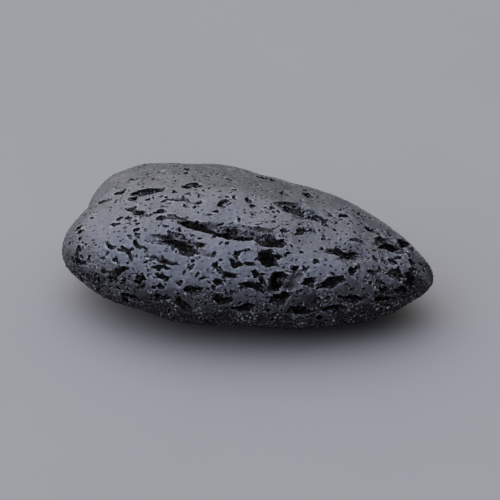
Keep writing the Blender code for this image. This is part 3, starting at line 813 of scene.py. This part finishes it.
def thin_out(thing, triangles):
    """Takes triangles away where the surface is evenest, down to this many."""
    plain = thing.data
    thin = thing.modifiers.new("even_faces", "DECIMATE")
    thin.ratio = triangles / (len(plain.loops) - 2 * len(plain.polygons))
    thin.use_collapse_triangulate = True
    bpy.context.view_layer.update()
    evaluated = thing.evaluated_get(bpy.context.evaluated_depsgraph_get())
    made = bpy.data.meshes.new_from_object(evaluated)
    made.name = thing.name
    thing.modifiers.clear()
    thing.data = made
    bpy.data.meshes.remove(plain)


def stretch_mesh(mesh, stretch):
    """Every point of the mesh multiplied by the stretch along each axis."""
    points = np.empty(3 * len(mesh.vertices), np.float32)
    mesh.vertices.foreach_get("co", points)
    points = points.reshape(-1, 3) * np.array(stretch, np.float32)
    mesh.vertices.foreach_set("co", points.ravel())
    mesh.update()


def add_bake_map(mesh):
    """A flat map for baking: each triangle goes to the face of the box of directions that it faces most.

    On a face the place is the two angles of its direction, laid side by side with the other faces' grids.
    """
    way = np.empty(3 * len(mesh.vertices), np.float32)
    mesh.attributes["way"].data.foreach_get("vector", way)
    corner = np.empty(len(mesh.loops), np.int32)
    mesh.loops.foreach_get("vertex_index", corner)
    way = way.reshape(-1, 3)[corner].reshape(-1, 3, 3)
    middle = way.mean(axis=1)
    axis = np.abs(middle).argmax(axis=1)
    sign = np.sign(np.take_along_axis(middle, axis[:, None], axis=1))[:, 0]
    face = 2 * axis + (sign < 0)
    rows = np.arange(len(axis))
    out = np.maximum(way[rows, :, axis] * sign[:, None], MAP_LEAST_OUT)
    places = np.empty(way.shape[:2] + (2,))
    for two, step in enumerate((1, 2)):
        slope = way[rows, :, (axis + step) % 3] / out
        places[..., two] = np.clip(np.arctan(slope) / (math.pi / 2.0) + 0.5, -MAP_PAST, 1.0 + MAP_PAST)
    turned = (axis != 2)[:, None, None]
    places = np.where(turned, places[..., ::-1], places)
    places = MAP_GAP + (1.0 - 2.0 * MAP_GAP) * places
    places = MAP_CORNERS[face][:, None] + MAP_SIZES[face][:, None] * places
    layer = mesh.uv_layers.new(name="OFBake")
    layer.uv.foreach_set("vector", places.astype(np.float32).ravel())


def stone_mesh():
    """The whole stone's fine mesh, at rest on z = 0, in metres, with its values for the material."""
    grid = box_grid(GRID)
    plain = form(grid.directions)
    measure(grid, plain)
    skin = dished(grid, plain)
    worn = wear(plain, np.linalg.norm(plain - skin, axis=1))
    points, depth, bend, hollow = finished(grid, skin, worn, riddled(grid, skin, worn))
    points += resting_shift()
    points[:, 2] = np.maximum(points[:, 2], 0.0)
    mesh = mesh_from(PIECE, points * MM, grid.quads)
    for name, values in (("depth", depth), ("bend", bend), ("cavity", hollow), ("wear", worn)):
        set_values(mesh, name, "FLOAT", values)
    set_values(mesh, "way", "FLOAT_VECTOR", grid.directions)
    return mesh


# ---- the stone's finish


def new_material(name):
    """A new material, its node tree and its shader."""
    material = bpy.data.materials.new(name)
    material.use_nodes = True
    return material, material.node_tree, material.node_tree.nodes["Principled BSDF"]


def new_node(tree, kind, inputs=None, **settings):
    """A new node of this kind with these inputs, each linked if it is a socket, and these settings."""
    node = tree.nodes.new(kind)
    for name, value in settings.items():
        setattr(node, name, value)
    for name, value in (inputs or {}).items():
        if isinstance(value, bpy.types.NodeSocket):
            tree.links.new(value, node.inputs[name])
        else:
            node.inputs[name].default_value = value
    return node


def stored(tree, name):
    """The value that the mesh stores under this name."""
    return new_node(tree, "ShaderNodeAttribute", attribute_name=name).outputs["Fac"]


def ranged(tree, value, low, high, to_low=0.0, to_high=1.0):
    """The value taken evenly from one range to another, and held at its ends."""
    inputs = {"Value": value, "From Min": low, "From Max": high, "To Min": to_low, "To Max": to_high}
    return new_node(tree, "ShaderNodeMapRange", inputs, clamp=True).outputs["Result"]


def noise(tree, place, scale, detail=2.0, roughness=0.5):
    """Soft noise, about this many patches to each unit of the place."""
    inputs = {"Vector": place, "Scale": scale, "Detail": detail, "Roughness": roughness}
    return new_node(tree, "ShaderNodeTexNoise", inputs).outputs["Fac"]


def either(tree, share, first, second):
    """The first colour where the share is 0, the second where it is 1; each is a socket or three numbers."""
    node = new_node(tree, "ShaderNodeMix", {"Factor": share}, data_type="RGBA")
    sockets = [socket for socket in node.inputs if socket.type == "RGBA"]
    for socket, colour in zip(sockets, (first, second)):
        if isinstance(colour, bpy.types.NodeSocket):
            tree.links.new(colour, socket)
        else:
            socket.default_value = tuple(colour) + (1.0,)
    return next(socket for socket in node.outputs if socket.type == "RGBA")


def worked(tree, operation, first, second):
    """A sum, product or the like of two values."""
    return new_node(tree, "ShaderNodeMath", {0: first, 1: second}, operation=operation).outputs["Value"]


def times(tree, product, *others):
    """The product of these values, taken in order."""
    for other in others:
        product = worked(tree, "MULTIPLY", product, other)
    return product


def larger(tree, first, second):
    """The larger of two values."""
    return worked(tree, "MAXIMUM", first, second)


def raised(tree, height, distance, strength, before=None):
    """A bump of this height map, its distance in millimetres, on top of another."""
    inputs = {"Height": height, "Distance": distance * MM, "Strength": strength}
    if before:
        inputs["Normal"] = before
    return new_node(tree, "ShaderNodeBump", inputs).outputs["Normal"]


def scaled(tree, place, scale):
    """The place multiplied along each axis."""
    return new_node(tree, "ShaderNodeMapping", {"Vector": place, "Scale": scale}).outputs["Vector"]


def pinholes(tree, place):
    """Pinholes too small for the mesh: 1 in a spot in the middle of some cells, longest along the stone."""
    # The colour paints these pinholes dark, as shade; the bump pricks them in.
    drawn = scaled(tree, place, (0.6, 1.0, 1.0))
    cells = new_node(tree, "ShaderNodeTexVoronoi", {"Vector": drawn, "Scale": 1.9})
    parts = new_node(tree, "ShaderNodeSeparateColor", {"Color": cells.outputs["Color"]})
    patchy = ranged(tree, noise(tree, place, 0.35), 0.35, 0.65, 0.4, 1.0)
    size = times(tree, ranged(tree, parts.outputs["Red"], 0.14, 1.0, 0.0, 0.54), patchy)
    return ranged(tree, worked(tree, "SUBTRACT", size, cells.outputs["Distance"]), 0.0, 0.05)


# place: in millimetres; depth: below the skin; inside: in a hollow, where the colour is painted darker as
# shade;
# dull: there or on an unworn flank, where the colour is painted darker as shade; pores: the pinholes, painted
# dark as shade; rims: the worn rims of the hollows, lighter partly as a painted highlight; grain and spots:
# fine noise; clusters: wide noise
Masks = namedtuple("Masks", "place depth inside dull pores rims grain spots clusters")


def masks_of(tree):
    """The values that the stone's finish is mixed by, from those stored on the mesh and from noise."""
    place = scaled(tree, new_node(tree, "ShaderNodeTexCoord").outputs["Object"], (1.0 / MM,) * 3)
    depth = stored(tree, "depth")
    worn = stored(tree, "wear")
    # inside: how far into a hollow, from the cavity and the depth; the colour is painted darker by it, as
    # shade.
    inside = larger(tree, ranged(tree, stored(tree, "cavity"), 0.2, 0.6), ranged(tree, depth, 0.15, 0.8))
    dull = larger(tree, inside, worked(tree, "SUBTRACT", 1.0, worn))
    grain = noise(tree, place, 2.6, 4.0, 0.6)
    clusters = noise(tree, place, 0.6)
    bent = worked(tree, "ADD", stored(tree, "bend"), ranged(tree, inside, 0.0, 1.0, 0.0, 0.012))
    # The rims of the hollows: glossier, and in the colour lighter, partly for wear and partly as a painted
    # highlight.
    rims = times(
        tree,
        ranged(tree, bent, -0.0025, -0.010),
        ranged(tree, grain, 0.35, 0.6, 0.15, 1.0),
        ranged(tree, depth, 0.4, 1.6, 1.0, 0.15),
        ranged(tree, worn, 0.0, 1.0, 0.6, 1.0),
        ranged(tree, clusters, 0.4, 0.6, 0.3, 1.0),
    )
    pores = pinholes(tree, place)
    return Masks(place, depth, inside, dull, pores, rims, grain, noise(tree, place, 2.6), clusters)


def stone_colour(tree, masks, finish):
    """The skin in faint patches; painted shade on the low flanks, in the dips and on the hollows' walls,
    which have a trace of rust; the rims lighter, partly worn and partly a painted highlight; and painted
    glints as flecks.
    """
    patches = ranged(tree, noise(tree, masks.place, 0.16, 3.0), 0.35, 0.65)
    skin = either(tree, patches, finish.skin_colour, finish.skin_patch_colour)
    # Painted shade: the colour is far darker low on the flanks all round, and in the dips, where the stone is
    # dull.
    skin = either(tree, masks.dull, skin, finish.low_flank_shade_colour)
    # Painted shade: the walls of the hollows far darker than the skin, with a trace of real rust.
    rusty = ranged(tree, noise(tree, masks.place, 0.7), 0.45, 0.7)
    wall = either(tree, rusty, finish.hollow_wall_shade_colour, finish.hollow_wall_rust_and_shade_colour)
    colour = either(tree, masks.inside, skin, wall)
    # Rims lighter: partly worn stone, partly a painted highlight.
    colour = either(tree, masks.rims, colour, finish.worn_rim_and_highlight_colour)
    # Painted glints: small bright flecks of colour in the dull, shallow stone, standing in for glints of
    # light.
    shallow = ranged(tree, masks.depth, 0.6, 2.4, 1.0, 0.3)
    clustered = ranged(tree, masks.clusters, 0.46, 0.6)
    painted_glints = times(tree, ranged(tree, masks.spots, 0.59, 0.65), clustered, times(tree, masks.dull, shallow))
    colour = either(tree, painted_glints, colour, finish.painted_glint_colour)
    # Random tone from the grain, and painted shade: the pinholes darkened to a tenth.
    tone_and_pinhole_shade = ranged(tree, masks.grain, 0.3, 0.7, 0.72, 1.25)
    tone_and_pinhole_shade = times(tree, tone_and_pinhole_shade, ranged(tree, masks.pores, 0.0, 1.0, 1.0, 0.1))
    inputs = {0: colour, "Scale": tone_and_pinhole_shade}
    return new_node(tree, "ShaderNodeVectorMath", inputs, operation="SCALE").outputs["Vector"]


def dullness(tree, masks, finish):
    """The roughness of the stone beneath its polish, uneven, and more where it is dull."""
    blurs = (finish.roughness - 0.1, finish.roughness + 0.1)
    blur = ranged(tree, noise(tree, masks.place, 1.4, 4.0, 0.65), 0.3, 0.7, *blurs)
    return worked(tree, "ADD", blur, ranged(tree, masks.dull, 0.0, 1.0, 0.0, 0.35))


def gloss_coat(tree, masks, finish):
    """How glossy the stone is: polished skin and rims, glints in the dull stone and shallow glassy walls."""
    sound = ranged(tree, masks.pores, 0.0, 1.0, 1.0, 0.0)
    smooth = ranged(tree, masks.grain, 0.3, 0.6, 0.7, 1.0)
    polished = times(tree, ranged(tree, masks.dull, 0.0, 1.0, 1.0, 0.0), sound, smooth)
    outside = ranged(tree, masks.inside, 0.0, 1.0, 1.0, 0.3)
    glints = times(tree, ranged(tree, masks.spots, 0.54, 0.60, 0.0, finish.glints), outside)
    shallow = ranged(tree, masks.depth, 0.4, 1.4, finish.glassiness, 0.0)
    glassy = times(tree, masks.inside, shallow, ranged(tree, masks.grain, 0.42, 0.54))
    return larger(tree, larger(tree, polished, larger(tree, glints, glassy)), masks.rims)


def relief(tree, masks):
    """Bumps: coarse where the stone is jagged, fine all over, and the pinholes pricked in."""
    jagged = larger(tree, masks.inside, times(tree, masks.dull, 0.6))
    coarse = noise(tree, masks.place, 1.6, 3.0, 0.6)
    bumps = raised(tree, coarse, 0.42, ranged(tree, jagged, 0.0, 1.0, 0.2, 1.0))
    fine = noise(tree, masks.place, 6.0)
    bumps = raised(tree, fine, 0.05, ranged(tree, masks.dull, 0.0, 1.0, 0.6, 0.4), bumps)
    return raised(tree, times(tree, masks.pores, -1.0), 0.15, 1.0, bumps)


def basalt(finish):
    """Worn basalt: a polished charcoal skin over dull, rough stone with small glints; its colour holds
    painted shade low on the flanks and in the hollows, and painted highlights as bright flecks and, in part,
    on the rims.
    """
    material, tree, shader = new_material("basalt_worn")
    shader.inputs["Specular IOR Level"].default_value = 0.2
    shader.inputs["Coat Roughness"].default_value = finish.polish
    masks = masks_of(tree)
    bumps = relief(tree, masks)
    for name, value in (
        ("Base Color", stone_colour(tree, masks, finish)),
        ("Roughness", dullness(tree, masks, finish)),
        ("Coat Weight", gloss_coat(tree, masks, finish)),
        ("Normal", bumps),
        ("Coat Normal", bumps),
    ):
        tree.links.new(value, shader.inputs[name])
    return material


# ---- settings, operators and panel


def colour_property(name, description, default):
    """A setting that is a colour."""
    return bpy.props.FloatVectorProperty(
        name=name, description=description, default=default, subtype="COLOR", size=3, min=0.0, max=1.0
    )


def share_property(name, description, default, low=0.0, high=1.0):
    """A setting that is a share from low to high."""
    return bpy.props.FloatProperty(
        name=name, description=description, default=default, min=low, max=high, subtype="FACTOR"
    )


class LavaRockStone(bpy.types.PropertyGroup):
    """Sizes and colours of the stone."""

    size: bpy.props.FloatVectorProperty(
        name="Size",
        description="The stone's length, width and height; the whole shape is stretched to them",
        default=tuple(CAD_BOX[1] - CAD_BOX[0]),
        subtype="XYZ",
        unit="LENGTH",
        size=3,
    )
    skin_colour: colour_property("Skin", "The worn skin of the stone", (0.034, 0.034, 0.038))
    skin_patch_colour: colour_property("Skin patches", "Faint patches in the skin", (0.047, 0.046, 0.050))
    # Hollow walls: painted shade, far darker than the skin, with a browner trace of rust.
    hollow_wall_shade_colour: colour_property("Hollows", "The walls of the gas hollows", (0.008, 0.0066, 0.006))
    hollow_wall_rust_and_shade_colour: colour_property("Rusty hollows", "The browner walls", (0.024, 0.014, 0.009))
    # Rims: lighter partly for wear and partly as a painted highlight.
    worn_rim_and_highlight_colour: colour_property("Rims", "The worn rims of the hollows", (0.16, 0.157, 0.158))
    # Painted glints: bright flecks of colour standing in for glints of light.
    painted_glint_colour: colour_property("Flecks", "The small bright flecks in the rough stone", (0.3, 0.295, 0.295))
    # Low flanks: painted shade, far darker than the skin.
    low_flank_shade_colour: colour_property("Flanks", "The unworn stone low on the flanks", (0.007, 0.0062, 0.006))
    roughness: share_property("Roughness", "How dull the stone is beneath its polish", 0.5, 0.1, 0.55)
    polish: share_property("Polish", "How blurred the polished skin's gloss is", 0.25)
    glassiness: share_property("Glassiness", "How glossy the walls of the shallow hollows are", 0.8)
    glints: share_property("Glints", "How glossy the small facets of the dull stone are", 0.9)


class LavaRockStage(bpy.types.PropertyGroup):
    """Floor, light and camera."""

    floor_colour: colour_property("Floor", "The floor that the stone lies on", (0.22, 0.205, 0.182))
    sky_strength: bpy.props.FloatProperty(
        name="Sky", description="How bright the brightest part of the sky is", default=4.1, min=0.0
    )
    sky_fill: bpy.props.FloatProperty(
        name="Fill", description="How bright the darkest part of the sky is", default=0.02, min=0.0
    )
    top_colour: colour_property("Overhead", "Colour of the light from overhead", (0.66, 0.74, 1.0))
    back_colour: colour_property("Behind", "Colour of the light from behind", (1.0, 0.98, 0.97))
    eye_angle: bpy.props.FloatProperty(
        name="Camera angle",
        description="How far above the horizon the camera stands",
        default=EYE_ANGLE,
        subtype="ANGLE",
        unit="ROTATION",
    )


class LAVAROCK_OT_pebble(bpy.types.Operator):
    """Makes the stone in place of its plain CAD solid"""

    bl_idname = "lava_rock.add_pebble"
    bl_label = "Add the stone"
    bl_options = {"REGISTER", "UNDO"}

    def execute(self, context):
        settings = context.scene.lava_rock_stone
        mesh = stone_mesh()
        stone = new_object(PIECE, mesh)
        thin_out(stone, TRIANGLES)
        stone.data.set_sharp_from_angle(angle=SHARP_ANGLE)
        add_bake_map(stone.data)
        stretch = [chosen / made for chosen, made in zip(settings.size, CAD_BOX[1] - CAD_BOX[0])]
        stretch_mesh(stone.data, stretch)
        stone.data.materials.append(basalt(settings))
        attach(stone, "root")
        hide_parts(NODE)
        return {"FINISHED"}


class LAVAROCK_OT_stage(bpy.types.Operator):
    """Makes the plain floor, the soft light and the camera"""

    bl_idname = "lava_rock.add_stage"
    bl_label = "Add the stage"
    bl_options = {"REGISTER", "UNDO"}

    def execute(self, context):
        settings = context.scene.lava_rock_stage
        add_floor(settings)
        add_sky(settings)
        add_camera(settings)
        context.scene.view_settings.view_transform = "Standard"
        return {"FINISHED"}


class LAVAROCK_PT_panel(bpy.types.Panel):
    """The operators and their settings, in the 3D view's sidebar"""

    bl_idname = "LAVAROCK_PT_panel"
    bl_label = "Lava rock"
    bl_space_type = "VIEW_3D"
    bl_region_type = "UI"
    bl_category = "Lava rock"

    def draw(self, context):
        for operator, settings in (
            (LAVAROCK_OT_pebble, context.scene.lava_rock_stone),
            (LAVAROCK_OT_stage, context.scene.lava_rock_stage),
        ):
            box = self.layout.box()
            for name in settings.__annotations__:
                box.prop(settings, name)
            box.operator(operator.bl_idname)


CLASSES = (LavaRockStone, LavaRockStage, LAVAROCK_OT_pebble, LAVAROCK_OT_stage, LAVAROCK_PT_panel)


def register():
    for kind in CLASSES:
        bpy.utils.register_class(kind)
    bpy.types.Scene.lava_rock_stone = bpy.props.PointerProperty(type=LavaRockStone)
    bpy.types.Scene.lava_rock_stage = bpy.props.PointerProperty(type=LavaRockStage)


def unregister():
    del bpy.types.Scene.lava_rock_stage
    del bpy.types.Scene.lava_rock_stone
    for kind in reversed(CLASSES):
        bpy.utils.unregister_class(kind)


# ---- the stage


def add_floor(settings):
    """A square floor just below z = 0, with a faintly mottled matt finish."""
    side = np.linspace(-FLOOR_SIZE / 2.0, FLOOR_SIZE / 2.0, 3)
    x, y = np.meshgrid(side, side, indexing="ij")
    points = np.stack([x.ravel(), y.ravel(), np.full(x.size, FLOOR_HEIGHT)], axis=1)
    number = np.arange(x.size).reshape(x.shape)
    floor = new_object("floor", mesh_from("floor", points, quads_of(number)))
    material, tree, shader = new_material("pale_floor")
    place = new_node(tree, "ShaderNodeTexCoord").outputs["Object"]
    mottle = ranged(tree, noise(tree, place, *FLOOR_MOTTLE), 0.3, 0.7)
    darker = [FLOOR_DARKER * part for part in settings.floor_colour]
    colour = either(tree, mottle, darker, settings.floor_colour)
    tree.links.new(colour, shader.inputs["Base Color"])
    shader.inputs["Roughness"].default_value = FLOOR_ROUGHNESS
    floor.data.materials.append(material)


def along(tree, direction, way):
    """How far a direction points along this way: 1 straight along it, 0 square to it and -1 away from it."""
    inputs = {0: direction, 1: Vector(way).normalized()}
    return new_node(tree, "ShaderNodeVectorMath", inputs, operation="DOT_PRODUCT").outputs["Value"]


def add_sky(settings):
    """A soft dome of light, brightest overhead, a little left and behind, and bluest overhead in front."""
    world = bpy.data.worlds.new("sky")
    world.use_nodes = True
    tree = world.node_tree
    background = tree.nodes["Background"]
    direction = new_node(tree, "ShaderNodeTexCoord").outputs["Generated"]
    bright = ranged(tree, along(tree, direction, SKY_BRIGHT_WAY), 0.0, 1.0)
    bright = worked(tree, "POWER", bright, SKY_GATHERING)
    bright = ranged(tree, bright, 0.0, 1.0, settings.sky_fill, settings.sky_strength)
    bluer = ranged(tree, along(tree, direction, SKY_BLUE_WAY), 0.1, 0.85)
    colour = either(tree, bluer, settings.back_colour, settings.top_colour)
    tree.links.new(colour, background.inputs["Color"])
    tree.links.new(bright, background.inputs["Strength"])
    bpy.context.scene.world = world


def add_camera(settings):
    """A camera that stands where the hollows were placed from, moved with the stone to its rest."""
    camera = new_object("camera", bpy.data.cameras.new("camera"))
    target = (AIM + resting_shift()) * MM
    angle = settings.eye_angle
    back = np.array([0.0, -math.cos(angle), math.sin(angle)]) * EYE_DISTANCE * MM
    camera.location = target + back
    camera.rotation_euler = (Vector(target) - Vector(target + back)).to_track_quat("-Z", "Y").to_euler()
    camera.data.angle = 2.0 * math.atan(VIEW_WIDTH / 2.0 / EYE_DISTANCE)
    camera.data.clip_start = CAMERA_NEAR
    bpy.context.scene.camera = camera


def main():
    register()
    bpy.ops.lava_rock.add_pebble()
    bpy.ops.lava_rock.add_stage()


if __name__ == "__main__":
    main()
